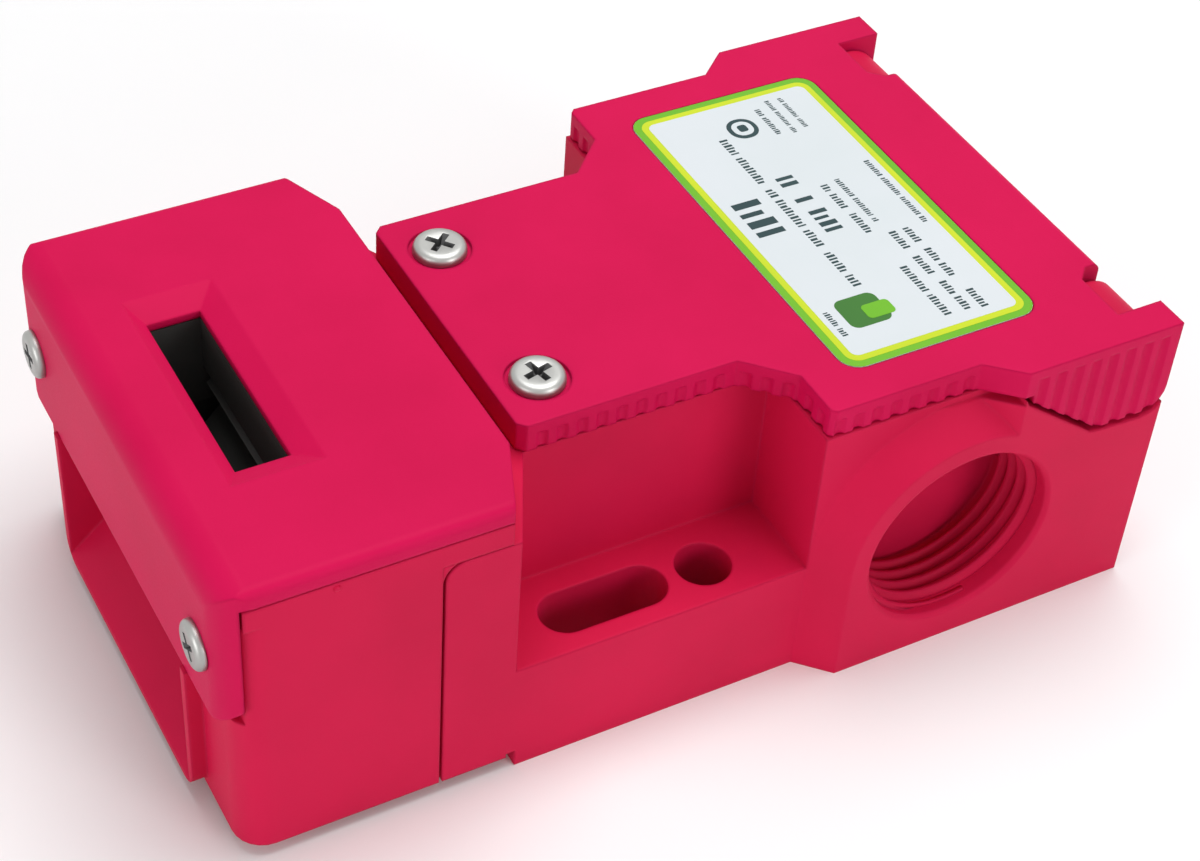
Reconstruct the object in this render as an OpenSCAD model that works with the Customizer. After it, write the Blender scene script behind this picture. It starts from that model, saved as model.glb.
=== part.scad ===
// Keyed safety interlock switch: a tongue key turns a cam in the head, and the cam
// works a plunger and a contact block in the base.
// X runs from the head's end face to the conduit end, Y across, Z up from the mounting face.

/* [Base] */
// Length from the head's end face to the conduit end of the base
body_l = 95; // [92:0.5:100]
// Width over the head and the mounting wings
body_w = 50.4; // [49:0.2:52]
// How far the conduit faces stand out from the sides
boss_h = 3.1; // [2.8:0.1:3.4]
// Height of the lid's top face above the mounting face
body_h = 32.5; // [32.3:0.1:33.2]
// Share of the body's width that the contact tower takes
tower_share = 0.603; // [0.59:0.001:0.61]
// Length of the wide wiring part
wide_len = 37; // [36:0.25:38]
// Height of the mounting wings
wing_h = 13; // [11:0.5:16]
// Thickness of the base floor
floor_t = 2.2; // [1.6:0.2:3]
// Wall between the tower cavity and the outside
tower_wall = 2.4; // [2:0.1:2.8]
// Free height under the head and the cheeks
foot_gap = 1.5; // [0.8:0.1:2]

/* [Mounting] */
// Diameter of the round fixing holes
fix_d = 5.5; // [4.5:0.1:6]
// Width of the fixing slots
slot_w = 5.2; // [4.5:0.1:5.6]
// End-to-end length of the fixing slots
slot_l = 13; // [10:0.5:14]
// Distance of the fixing holes in from the wings' sides
fix_side = 4.6; // [4.4:0.1:5]
// Distance of the round fixing holes in front of the wiring part
fix_back = 8.6; // [8:0.2:9]
// Distance of the fixing slots in front of the round holes
slot_back = 10.6; // [10.4:0.2:11.4]

/* [Conduit] */
// Radius of the threaded conduit entries
entry_r = 10; // [9:0.25:10.2]
// Depth of the threads behind the conduit face
entry_depth = 8.5; // [7:0.25:8.6]
// Thickness of the knock-out blank at the bottom of each thread
blank_t = 1.2; // [0.8:0.1:1.4]
// Height of the entries above the mounting face
entry_z = 13.4; // [13:0.1:13.6]
// Distance of the side entries in front of the conduit end
entry_back = 21.7; // [21:0.1:22]
// Flare of the raised boss round a side entry
boss_rim = 2.3; // [1.8:0.1:2.6]

/* [Head] */
// Length of the head cap
head_l = 29.7; // [29.2:0.1:30]
// Height of the cap's top face above the lid's
cap_rise = 1.3; // [1:0.1:1.4]
// Thickness of the cap's top plate and rim
cap_t = 2; // [1.8:0.1:2.2]
// Thickness of the cap's end plate
ear_t = 2.2; // [1.9:0.1:2.3]
// Lower edge of the cap's end plate
ear_z = 17.6; // [17:0.1:18]
// Radius of the end plate's lower corners
ear_r = 3.5; // [2:0.25:4]
// Length of the head's corner chamfers along X
corner_x = 3; // [2.6:0.1:3.4]
// Length of the head's corner chamfers along Y
corner_y = 7.25; // [6.5:0.25:7.75]
// Width of the raised nose round the end entry
nose_w = 33.6; // [33:0.2:34.4]
// Soft edge along the cap's end
cap_end_r = 3; // [2:0.25:3.5]
// Soft edge along the cap's sides
cap_side_r = 1; // [0.7:0.1:1.4]

/* [Key] */
// Width of the key slots
key_w = 21; // [20:0.2:21.4]
// Thickness of the key slots
key_t = 5.1; // [4.8:0.1:5.3]
// Distance of the top key slot's centre from the head's end face
key_x = 10.15; // [10:0.05:10.4]

/* [Cam] */
// Outer radius of the cam wheel
cam_r = 8.5; // [8.2:0.1:8.6]
// Distance of the cam axle from the head's end face
cam_x = 17; // [17:0.1:17.3]
// Height of the cam axle
cam_z = 17; // [16.8:0.1:17.2]
// Radius of the cam axle
axle_r = 2; // [1.5:0.1:2.4]
// Angle through which a key turns the cam
cam_turn = 40; // [36:1:42]
// Stroke of the plunger and the contact carrier
stroke = 3.2; // [2.8:0.1:3.3]

/* [Lid] */
// Thickness of the lid plate
lid_t = 3; // [2.8:0.1:3.2]
// Distance of the lid's front edge from the head's end face
lid_x = 32; // [31.6:0.1:32.2]
// Distance of the hinge axis in front of the conduit end
hinge_back = 3.8; // [3.6:0.1:4]
// Depth of the hinge axis below the lid's top face
hinge_drop = 5.3; // [5.2:0.05:5.4]
// Radius of the base's hinge knuckles
knuckle_r = 4.2; // [4:0.05:4.3]
// Radius of the hinge pins
pin_r = 1.5; // [1.2:0.1:1.8]
// Distance from rib to rib along the lid's edge
rib_pitch = 2; // [1.8:0.1:2.6]
// Radius of the flutes between the ribs
flute_r = 0.7; // [0.6:0.05:0.8]
// Width of the lid left bare beside the label
label_side = 4.2; // [3.5:0.1:6]
// Width of the label along the lid
label_l = 21.4; // [20:0.2:22]
// Thickness of the label
label_t = 0.3; // [0.2:0.05:0.5]

/* [Contacts] */
// Length of the contact block
block_l = 24; // [23.5:0.25:24.5]
// Room left between the contact block and the cavity's walls
block_room = 0.6; // [0.4:0.1:0.9]
// Room between the contact carrier and the contact tips
carrier_room = 1.4; // [1.2:0.1:1.8]
// Height of the contact carrier
carrier_h = 8; // [7:0.25:8.4]
// Wire diameter of the springs
wire_d = 0.6; // [0.4:0.05:0.7]

/* [Hidden] */
$fn = 48;
gap = 0.3;
eps = 0.01;
run_fit = 0.05;
body_half = body_w / 2;
face_half = body_half + boss_h;
tower_half = body_half * tower_share;
wide_x = body_l - wide_len;
fix_y = body_half - fix_side;
fix_x = wide_x - fix_back;
fix_slot_x = fix_x - slot_back;
entry_x = body_l - entry_back;
hinge_x = body_l - hinge_back;
cavity_half = tower_half - tower_wall;
lid_z = body_h - lid_t;
rim_z = lid_z - 0.2;
head_half = body_half;
cap_top = body_h + cap_rise;
seam_z = cap_top - cap_t;
cheek_t = 1.6;
shroud_x = head_l - 2.2;
cheek_x = shroud_x - 7.1;
head_rear = head_l - 1.1;
nose_x = -0.3;
nose_r = 2.4;
face_x = ear_t - 1;
tenon_neck = tower_half - 8.2;
tenon_half = tenon_neck + 2.5;
tenon_x = head_l + 0.9;
tenon_end = tenon_x + 2.2;
tenon_z = 4.5;
end_wall_x = tenon_end + 3.2;
wiring_x = wide_x + 2.4;
wiring_end = body_l - entry_depth - blank_t;
wiring_half = face_half - entry_depth - blank_t;
end_step_x = wiring_end + 2.6;
step_x = hinge_x - 13.4;
step_len = 3.4;
hinge_z = body_h - hinge_drop;
knuckle_end = face_half - 4;
knuckle_y = knuckle_end - 5.9;
cheek_in = knuckle_end + gap;
cheek_out = face_half - 0.1;
cheek_bot = hinge_z - 5;
cheek_end = hinge_x + 4;
end_x = max(body_l, cheek_end, hinge_x + knuckle_r);
lid_end = hinge_x + 2.2;
end_top = hinge_z - 2.6;
lid_narrow = tower_half + 0.3;
lid_wide = body_half;
screw_r = 1.45;
screw_head_r = 2.75;
screw_head_h = 1.7;
lid_screw_x = lid_x + 4.5;
lid_screw_y = tower_half - 5.1;
post_r = 3.2;
cap_screw_y = head_half - 5;
cap_screw_z = body_h - 8;
chamber_half = key_w / 2 + 1;
window_half = nose_w / 2 - 1;
chamber_end = cam_x + cam_r + 0.5;
head_floor = 2.2;
end_key_z = cam_z - (cam_x - key_x);
slot_a = key_x - key_t / 2;
slot_b = key_x + key_t / 2;
guide_z = cam_z + 5;
cam_half = chamber_half - 1.3;
screw_sink = 0.35;
plunger_r = 2.5;
plunger_tip = cam_x + cam_r + 0.3;
block_x = end_wall_x + 5.6;
block_end = block_x + block_l;
carrier_x = block_x + 0.2;
channel_end = block_end - 2.2;
carrier_end = channel_end - 4;
carrier_z = cam_z - carrier_h / 2;
shelf_z = 12.6;
block_top = carrier_z + carrier_h + 0.5;
safety_x = carrier_x + 7.6;
aux_x = carrier_x + 14.4;
strip_t = 0.8;
strip_w = 4.4;
tip_h = 0.5;
block_half = cavity_half - block_room;
term_y = block_half - 2.7;
tip_y = term_y - 3.3;
bridge_half = tip_y + 1;
carrier_w = 2 * (tip_y - 1.1 - carrier_room);
spring_r = carrier_w * 0.27;
label_x = wide_x + 4.5;
label_w = 2 * (body_half - label_side);
block_screw_x = [block_x + 1.7, block_end - 1.7];
block_screw_y = block_half - 1.9;
block_z = floor_t + 3.4;
fixed_fit = 0.03;

module place() {
    translate([-(end_x - screw_head_h) / 2, 0, 0]) children();
}

// Both sides of the middle plane
module both() {
    children();
    mirror([0, 1, 0]) children();
}

// Points of an arc, counter-clockwise from a0 to a1
function arc(c, r, a0, a1, n) =
    [for (i = [0 : n]) let (a = a0 + (a1 - a0) * i / n) [c[0] + r * cos(a), c[1] + r * sin(a)]];

// A half outline above the X axis, closed by its mirror image
function mirrored(half) = concat(half, [for (i = [len(half) - 1 : -1 : 0]) [half[i][0], -half[i][1]]]);

// An XZ outline extruded along Y from y0 to y1
module across(y0, y1) {
    translate([0, y1, 0]) rotate([90, 0, 0]) linear_extrude(y1 - y0) children();
}

// A cylinder along X
module rod_x(x0, x1, r, y = 0, z = 0) {
    translate([x0, y, z]) rotate([0, 90, 0]) cylinder(h = x1 - x0, r = r);
}

// A cylinder along Y
module rod_y(y0, y1, r, x = 0, z = 0) {
    translate([x, y0, z]) rotate([-90, 0, 0]) cylinder(h = y1 - y0, r = r);
}

// A box from one corner to the other
module span(a, b) {
    translate(a) cube(b - a);
}

// Pan head with a cross recess, top towards +Z, seat at z = 0
module pan_head() {
    dome = 4.4;
    difference() {
        intersection() {
            cylinder(h = screw_head_h, r = screw_head_r);
            translate([0, 0, screw_head_h - dome]) sphere(r = dome, $fn = 64);
        }
        for (a = [0, 90]) rotate(a)
            translate([-1.4, -0.32, screw_head_h - 1]) cube([2.8, 0.64, 2]);
    }
}

module pan_screw(length) {
    pan_head();
    translate([0, 0, -length]) cylinder(h = length + eps, r = screw_r);
    translate([0, 0, -length - 0.8]) cylinder(h = 0.8, r1 = 0.6, r2 = screw_r);
}

// Outline of the shroud, tower and wiring part, seen from above
function base_half_outline() = [
    [cheek_x, body_half],
    [shroud_x, body_half],
    [lid_x + 0.6, tower_half],
    [wide_x, tower_half],
    [wide_x, body_half],
    [step_x - step_len, body_half],
    [step_x, face_half],
    [body_l, face_half]];

// Outline of the head below its flange, seen from above
function head_half_outline(side_in) = concat(
    arc([face_x + 3, head_half - 3], 3, 180, 90, 6),
    [[cheek_x - gap, head_half],
     [cheek_x - gap, head_half - side_in],
     [shroud_x - side_in, head_half - side_in],
     [head_rear, head_half - side_in - corner_y + 0.25]]);

module conduit_boss() {
    // raised boss with a flared rim, tombstone shaped down to the mounting face
    translate([entry_x, body_half - eps, entry_z]) rotate([-90, 0, 0])
        cylinder(h = boss_h + eps, r1 = entry_r + boss_rim + boss_h, r2 = entry_r + boss_rim);
    left = entry_x - entry_r - boss_rim;
    linear_extrude(entry_z) polygon([
        [left - boss_h, body_half - eps], [left, face_half],
        [body_l, face_half], [body_l, body_half - eps]]);
}

module entry_bore() {
    // thread core from z = 0 inwards with a chamfered mouth
    translate([0, 0, -entry_depth]) cylinder(h = entry_depth + 1, r = entry_r, $fn = 96);
    translate([0, 0, -0.4]) cylinder(h = 0.4 + eps, r1 = entry_r, r2 = entry_r + 0.4, $fn = 96);
}

module fixing_holes() {
    translate([fix_x, fix_y, -1]) cylinder(h = wing_h + 2, r = fix_d / 2);
    reach = (slot_l - slot_w) / 2;
    for (s = [-1, 1])
        translate([fix_slot_x + s * reach, fix_y, -1]) cylinder(h = wing_h + 2, r = slot_w / 2);
    span([fix_slot_x - reach, fix_y - slot_w / 2, -1],
        [fix_slot_x + reach, fix_y + slot_w / 2, wing_h + 1]);
}

// Side view of a lid cheek, seen along Y
function cheek_outline(grow) = concat(
    [[step_x + 0.4 - grow, body_h + grow],
     [step_x + 0.9 - grow, lid_z - 1.0 - grow * 0.4],
     [hinge_x - 4.2 - grow * 0.7, cheek_bot + 0.3 - grow]],
    [[hinge_x - 3.6, cheek_bot - grow * 0.5]],
    arc([cheek_end - 2.5, cheek_bot + 2.5 - grow * 0.5], 2.5 + grow * 0.3, 270, 360, 5),
    [[cheek_end + grow * 0.3, body_h + grow]]);

module base_solid() {
    difference() {
        union() {
            linear_extrude(rim_z) polygon(mirrored(base_half_outline()));
            both() span([shroud_x, tower_half - 1, 0], [wide_x + 1, body_half, wing_h]);
            both() conduit_boss();
        }
        // the boss ends flush with the mounting face and below the lid
        span([entry_x - 20, -face_half - 1, -5], [entry_x + 20, face_half + 1, 0]);
        both() span([entry_x - 20, body_half, rim_z - 0.8], [step_x, face_half + 1, rim_z + 3]);
        // free space under the cheeks
        span([cheek_x - 1, -face_half, -1], [shroud_x - 0.6, face_half, foot_gap]);
        both() span([shroud_x - 0.6, body_half - 2.4, -1], [shroud_x + 0.3, face_half, 2]);
        both() across(body_half - 3, face_half) cheek_corner();
        // seat of the head
        translate([0, 0, -1]) linear_extrude(rim_z + 2)
            polygon(mirrored([[cheek_x - 1, head_half - cheek_t],
                [shroud_x - cheek_t, head_half - cheek_t],
                [head_rear + 0.2, head_half - cheek_t - corner_y + 0.35]]));
        // tenon slot, open at the top
        span([head_rear - 1, -tenon_neck - 0.15, tenon_z - 0.2], [tenon_x + 1, tenon_neck + 0.15, rim_z + 1]);
        span([tenon_x - 0.2, -tenon_half - 0.15, tenon_z - 0.2],
            [tenon_end + 0.2, tenon_half + 0.15, rim_z + 1]);
        // contact and wiring cavities
        span([end_wall_x, -cavity_half, floor_t], [wiring_x + 1, cavity_half, rim_z + 1]);
        span([wiring_x, -wiring_half, floor_t], [wiring_end, wiring_half, rim_z + 1]);
        // the conduit end is cut down so that the lid can swing
        span([end_step_x, -knuckle_y + 0.5, end_top], [body_l + 1, knuckle_y - 0.5, rim_z + 1]);
        both() cheek_pocket();
        both() span([hinge_x - knuckle_r - 0.6, knuckle_y - 0.6, hinge_z - 4.5],
            [body_l + 1, knuckle_end + 0.5, rim_z + 1]);
    }
}

// Waste outside the rounded upper corner of a cheek
module cheek_corner() {
    r = 2;
    difference() {
        translate([cheek_x - 1, rim_z - r]) square([r + 1, r + 1]);
        translate([cheek_x + r, rim_z - r]) circle(r = r);
    }
}

module cheek_pocket() {
    across(knuckle_end + eps, face_half + 1) union() {
        polygon(cheek_outline(0.8));
        translate([hinge_x, hinge_z]) circle(r = 5.6);
    }
}

module knuckle() {
    rod_y(knuckle_y, knuckle_end, knuckle_r, hinge_x, hinge_z);
    span([hinge_x - knuckle_r, knuckle_y, cheek_bot - 2], [body_l, knuckle_end, hinge_z]);
}

module base_housing() {
    color("crimson") difference() {
        union() {
            base_solid();
            both() knuckle();
            both() translate([lid_screw_x, lid_screw_y, floor_t - eps])
                cylinder(h = rim_z - floor_t + eps, r = post_r);
            both() for (x = block_screw_x)
                translate([x, block_screw_y, floor_t - eps]) cylinder(h = block_z - floor_t + eps, r = 2.8);
        }
        both() fixing_holes();
        both() translate([entry_x, face_half, entry_z]) rotate([-90, 0, 0]) entry_bore();
        translate([body_l, 0, entry_z]) rotate([0, 90, 0]) entry_bore();
        both() translate([lid_screw_x, lid_screw_y, rim_z - 8]) cylinder(h = 9, r = screw_r + 0.4);
        both() for (x = block_screw_x)
            translate([x, block_screw_y, floor_t + 0.6]) cylinder(h = 9, r = 1.25 + fixed_fit);
        rod_x(tenon_end, end_wall_x + 1, plunger_r + 0.7, 0, cam_z);
        both() rod_y(knuckle_y - 1, knuckle_end + 1, pin_r + fixed_fit, hinge_x, hinge_z);
    }
}

// Upright flutes along the edge from a to b, cut from its left side
module flutes(a, b, z0) {
    run = norm(b - a);
    step = (b - a) / run;
    out = [step[1], -step[0]] * (flute_r - 0.3);
    n = floor((run - 1.6) / rib_pitch);
    first = (run - n * rib_pitch) / 2;
    for (i = [0 : n]) let (p = a + step * (first + i * rib_pitch) + out)
        translate([p[0], p[1], z0]) cylinder(h = body_h - 1.2 - z0, r = flute_r, $fn = 24);
}

module lid_flutes() {
    far = wide_x + 0.2;
    flutes([wide_x - 4, lid_narrow], [lid_x + 0.6, lid_narrow], lid_z - 1);
    flutes([far, lid_narrow + 4.2], [wide_x - 4, lid_narrow], lid_z - 1);
    flutes([far, lid_wide], [far, lid_narrow + 4.2], lid_z - 1);
    flutes([step_x - step_len - 0.2, lid_wide], [far, lid_wide], lid_z - 1);
    flutes([cheek_end - 0.4, cheek_out], [step_x + 0.2, cheek_out], cheek_bot - 1);
}

function lid_half_outline() = [
    [lid_x, lid_narrow - 0.8],
    [lid_x + 0.8, lid_narrow],
    [wide_x - 4, lid_narrow],
    [wide_x + 0.2, lid_narrow + 4.2],
    [wide_x + 0.2, lid_wide - 0.5],
    [wide_x + 0.7, lid_wide],
    [step_x - step_len - 0.2, lid_wide],
    [step_x - 0.2, cheek_out],
    [cheek_end, cheek_out],
    [cheek_end, cheek_in],
    [hinge_x - 1, cheek_in],
    [hinge_x - 1, knuckle_y + 0.5],
    [hinge_x + 0.4, knuckle_y - 0.9],
    [lid_end, knuckle_y - 0.9]];

function gasket_half(o) = [
    [lid_x + 1.2 + o, tower_half - 0.5 - o],
    [wide_x + 0.7 + o, tower_half - 0.5 - o],
    [wide_x + 0.7 + o, wiring_half + 2 - o],
    [wiring_end + 1.8 - o, wiring_half + 2 - o]];

module gasket_ring(grow) {
    difference() {
        polygon(mirrored(gasket_half(-grow)));
        polygon(mirrored(gasket_half(1.4 + grow)));
    }
}

module lid() {
    color("crimson") difference() {
        union() {
            difference() {
                translate([0, 0, lid_z]) linear_extrude(lid_t) polygon(mirrored(lid_half_outline()));
                // soft far edge
                across(-knuckle_y + 0.9 - eps, knuckle_y - 0.9 + eps) difference() {
                    translate([lid_end - 1, body_h - 1]) square(2);
                    translate([lid_end - 1, body_h - 1]) circle(r = 1);
                }
            }
            both() across(cheek_in, cheek_out) polygon(cheek_outline(0));
            // end skirt that closes the hinge side
            span([lid_end - 1.4, -knuckle_y + 1.2, hinge_z - 1], [lid_end, knuckle_y - 1.2, lid_z + eps]);
        }
        both() lid_flutes();
        // room for the knuckles
        both() rod_y(knuckle_y - 0.8, cheek_in, knuckle_r + 0.4, hinge_x, hinge_z);
        both() rod_y(cheek_in - 1, cheek_out - 1.2, pin_r + run_fit, hinge_x, hinge_z);
        both() translate([lid_screw_x, lid_screw_y, lid_z - 1]) cylinder(h = lid_t + 2, r = screw_r + 0.15);
        translate([0, 0, lid_z - eps]) linear_extrude(0.9 + eps) gasket_ring(0.1);
        // sunk seats of the screw heads
        both() translate([lid_screw_x, lid_screw_y, body_h - screw_sink]) cylinder(h = 1, r = screw_head_r + 0.3);
        // seat of the label
        translate([0, 0, body_h - label_t]) linear_extrude(1) label_outline(0.1);
    }
}

module lid_gasket() {
    color("dimgray") translate([0, 0, rim_z]) linear_extrude(lid_z + 0.9 - rim_z) gasket_ring(0);
}

function label_corners(o) = let (x = label_x - o, l = label_l + 2 * o, w = label_w + 2 * o, r = 2 + o) concat(
    arc([x + l - r, w / 2 - r], r, 0, 90, 5),
    arc([x + r, w / 2 - r], r, 90, 180, 5),
    arc([x + r, r - w / 2], r, 180, 270, 5),
    arc([x + l - r, r - w / 2], r, 270, 360, 5));
module label_outline(o) {
    polygon(label_corners(o));
}

module label_plate() {
    color("white") translate([0, 0, body_h - label_t]) linear_extrude(label_t) label_outline(0);
}

module lid_screws() {
    color("silver") both() translate([lid_screw_x, lid_screw_y, body_h - screw_sink]) pan_screw(7.2);
}

module hinge_pins() {
    color("silver") both() rod_y(knuckle_y + 0.2, cheek_out - 1.4, pin_r, hinge_x, hinge_z);
}

// An outline in Z and Y, extruded along X from x0 to x1
module along(x0, x1) {
    translate([x1, 0, 0]) rotate([0, -90, 0]) linear_extrude(x1 - x0) children();
}

// Window round the end key slot, with a floor that rises to the slot's lower edge
module end_window() {
    back = key_x - 4.55;
    lip = foot_gap + 0.7;
    slope = (end_key_z - key_t / 2 - lip) / (back - nose_x);
    across(-window_half, window_half) polygon([
        [nose_x - 1, lip - slope], [back, lip + slope * (back - nose_x)],
        [back, ear_z], [nose_x - 1, ear_z]]);
}

module head_housing() {
    color("crimson") difference() {
        union() {
            difference() {
                translate([0, 0, foot_gap]) linear_extrude(rim_z + 0.1 - foot_gap)
                    polygon(mirrored(head_half_outline(cheek_t + 0.2)));
                // the face stands forward only below the cap's end plate
                span([face_x - 1, -head_half - 1, ear_z - 0.1], [ear_t + 0.05, head_half + 1, body_h]);
            }
            // nose round the end entry
            along(nose_x, face_x + 0.5) polygon(mirrored(concat(
                arc([foot_gap + nose_r, nose_w / 2 - nose_r], nose_r, 180, 90, 6),
                [[ear_z - 0.1, nose_w / 2]])));
            // flange under the cap
            translate([0, 0, rim_z + 0.1]) linear_extrude(seam_z - rim_z - 0.1)
                polygon(mirrored([[ear_t + 0.1, head_half], [head_l - corner_x, head_half],
                    [head_l, head_half - corner_y]]));
            // tenon that slides down into the base
            span([head_rear - 1, -tenon_neck, tenon_z], [tenon_x + 0.5, tenon_neck, rim_z]);
            span([tenon_x, -tenon_half, tenon_z], [tenon_end, tenon_half, rim_z]);
        }
        // end entry and cam chamber
        end_window();
        span([key_x - 4.6, -key_w / 2, end_key_z - key_t / 2], [cam_x, key_w / 2, end_key_z + key_t / 2]);
        span([key_x - 2.85, -chamber_half, foot_gap + head_floor], [chamber_end, chamber_half, cap_top]);
        span([key_x - 4.35, -chamber_half, guide_z], [chamber_end, chamber_half, cap_top]);
        both() rod_y(chamber_half - 1, chamber_half + 3.7, axle_r + fixed_fit, cam_x, cam_z);
        rod_x(chamber_end - 1, tenon_end + 1, plunger_r + run_fit, 0, cam_z);
        both() rod_x(0, 12.2, screw_r + fixed_fit, cap_screw_y, cap_screw_z);
    }
}

// Plan of the cap with soft vertical corners at the end face
function cap_half_outline() = concat(
    arc([3.2, head_half - 3.2], 3.2, 180, 90, 6),
    [[head_l - corner_x, head_half], [head_l, head_half - corner_y]]);

module cap_blank() {
    intersection() {
        translate([0, 0, ear_z]) linear_extrude(cap_top - ear_z) polygon(mirrored(cap_half_outline()));
        // side view with a soft end edge
        across(-head_half - 1, head_half + 1) union() {
            translate([cap_end_r, cap_top - cap_end_r]) circle(r = cap_end_r, $fn = 64);
            translate([0, ear_z]) square([cap_end_r, cap_top - cap_end_r - ear_z]);
            translate([cap_end_r, ear_z]) square([head_l + 1 - cap_end_r, cap_top - ear_z]);
        }
        // end view with soft side edges and round lower corners
        along(-1, head_l + 1) polygon(mirrored(concat(
            arc([ear_z + ear_r, head_half - ear_r], ear_r, 180, 90, 8),
            arc([cap_top - cap_side_r, head_half - cap_side_r], cap_side_r, 90, 0, 6))));
    }
}

module head_cap() {
    color("crimson") difference() {
        cap_blank();
        span([ear_t, -head_half - 1, ear_z - 1], [head_l + 1, head_half + 1, seam_z]);
        span([slot_a, -key_w / 2, ear_z], [slot_b, key_w / 2, cap_top + 1]);
        // shallow funnel round the slot
        hull() {
            span([slot_a, -key_w / 2, cap_top - 1.1], [slot_b, key_w / 2, cap_top + 0.1]);
            span([slot_a - 1.4, -key_w / 2 - 2.6, cap_top], [slot_b + 2.2, key_w / 2 + 2.6, cap_top + 0.1]);
        }
        both() rod_x(-1, ear_t + 1, screw_r + 0.2, cap_screw_y, cap_screw_z);
    }
}

// Collar that guides the key on its way down to the cam
module key_guide() {
    half = chamber_half - 0.2;
    color([0.08, 0.08, 0.08]) difference() {
        span([key_x - 4.15, -half, guide_z], [slot_b + 1.6, half, seam_z]);
        span([slot_a, -key_w / 2, guide_z - 1], [slot_b, key_w / 2, cap_top]);
        // room for the cam
        span([slot_b - eps, -key_w / 2, guide_z - 1], [slot_b + 3, key_w / 2, cam_z + cam_r + 0.6]);
    }
}

module cap_screws() {
    color("silver") both() translate([0, cap_screw_y, cap_screw_z]) rotate([0, -90, 0]) pan_screw(11);
}

// Cam face that the plunger follows, shrinking steadily as the cam turns
function cam_relief(n) = concat(
    [for (i = [0 : n]) let (a = -cam_turn * i / n, r = cam_r - stroke * i / n) [r * cos(a), r * sin(a)]],
    [for (a = [-cam_turn - 8 : -7 : -64]) let (r = cam_r - stroke) [r * cos(a), r * sin(a)]],
    [[(cam_r + 2) * cos(68), -(cam_r + 2) * sin(68)], [cam_r + 3, -cam_r], [cam_r + 3, 0]]);

module cam_notch(a) {
    rotate(a) translate([cam_r - 3.4, -2.5]) square([5, 5]);
}

module cam_wheel() {
    color([0.08, 0.08, 0.08]) translate([cam_x, 0, cam_z]) difference() {
        across(-cam_half, cam_half) difference() {
            circle(r = cam_r, $fn = 96);
            polygon(cam_relief(10));
            cam_notch(137);
            cam_notch(-133);
        }
        rod_y(-chamber_half, chamber_half, axle_r + run_fit);
    }
}

module cam_axle() {
    color("silver") rod_y(-chamber_half - 3.6, chamber_half + 3.6, axle_r, cam_x, cam_z);
}

module plunger() {
    color([0.9, 0.88, 0.8]) {
        translate([plunger_tip, 0, cam_z]) rotate([0, 90, 0]) cylinder(h = 2, r1 = 0.3, r2 = plunger_r);
        rod_x(plunger_tip + 2 - eps, block_x + 0.1, plunger_r, 0, cam_z);
    }
}

module plunger_seal() {
    color("dimgray") translate([0, 0, cam_z]) rotate([0, 90, 0]) rotate_extrude() polygon([
        [plunger_r + 0.1, tenon_end + 0.6],
        [plunger_r + 0.7, tenon_end + 0.6],
        [plunger_r + 0.7, end_wall_x],
        [plunger_r + 2.2, end_wall_x],
        [plunger_r + 2.2, end_wall_x + 0.8],
        [plunger_r + 0.9, end_wall_x + 1.6],
        [plunger_r + 0.1, end_wall_x + 1.6]]);
}

module contact_housing() {
    half = block_half;
    wall = carrier_w / 2 + 1.6;
    color([0.12, 0.12, 0.13]) difference() {
        union() {
            span([block_x, -half, block_z], [block_end, half, shelf_z]);
            span([block_x, -wall, shelf_z - eps], [block_end, wall, block_top]);
            // barriers between the terminals
            for (x = [safety_x + 1.1, aux_x + 3.3])
                span([x, -half, shelf_z - eps], [x + 1.2, half, block_top - 1.5]);
        }
        // channel of the carrier
        span([block_x - 1, -carrier_w / 2 - 0.15, carrier_z - 0.15],
            [channel_end, carrier_w / 2 + 0.15, block_top + 1]);
        // windows for the bridges and the fixed contacts
        both() span([safety_x - 5.8, carrier_w / 2 - 0.5, shelf_z], [safety_x + 0.9, wall + 0.8, block_top + 1]);
        both() span([aux_x - 3.9, carrier_w / 2 - 0.5, shelf_z], [aux_x + 2.8, wall + 0.8, block_top + 1]);
        both() for (x = block_screw_x)
            translate([x, block_screw_y, 0]) cylinder(h = shelf_z + 1, r = 1.6);
        both() for (x = [safety_x - 2.2, aux_x + 0.2])
            translate([x, term_y, shelf_z - 4]) cylinder(h = 5, r = screw_r + fixed_fit);
    }
}

module contact_cover() {
    color([0.12, 0.12, 0.13]) span([block_x, -carrier_w / 2 - 1.6, block_top],
        [block_end, carrier_w / 2 + 1.6, block_top + 1.4]);
}

module carrier_window(a, b) {
    span([a, -carrier_w, cam_z - 1.9], [b, carrier_w, cam_z + 1.9]);
}

module contact_carrier() {
    color([0.93, 0.92, 0.86]) difference() {
        union() {
            span([carrier_x, -carrier_w / 2, carrier_z], [carrier_end, carrier_w / 2, carrier_z + carrier_h]);
            rod_x(carrier_end - eps, carrier_end + 1, spring_r * 0.55, 0, cam_z);
        }
        carrier_window(safety_x - strip_t / 2, safety_x + 2.4);
        carrier_window(aux_x - 1.8, aux_x + 0.9);
    }
}

// Wire swept along a helix about the X axis
function coil_point(a, r, pitch) = [pitch * a / 360, r * cos(a), r * sin(a)];
function coil_ring(a, r, pitch, w, sides) =
    [for (j = [0 : sides - 1]) let (b = 360 * j / sides, q = r + w * cos(b))
        [pitch * a / 360 + w * sin(b), q * cos(a), q * sin(a)]];

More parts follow.
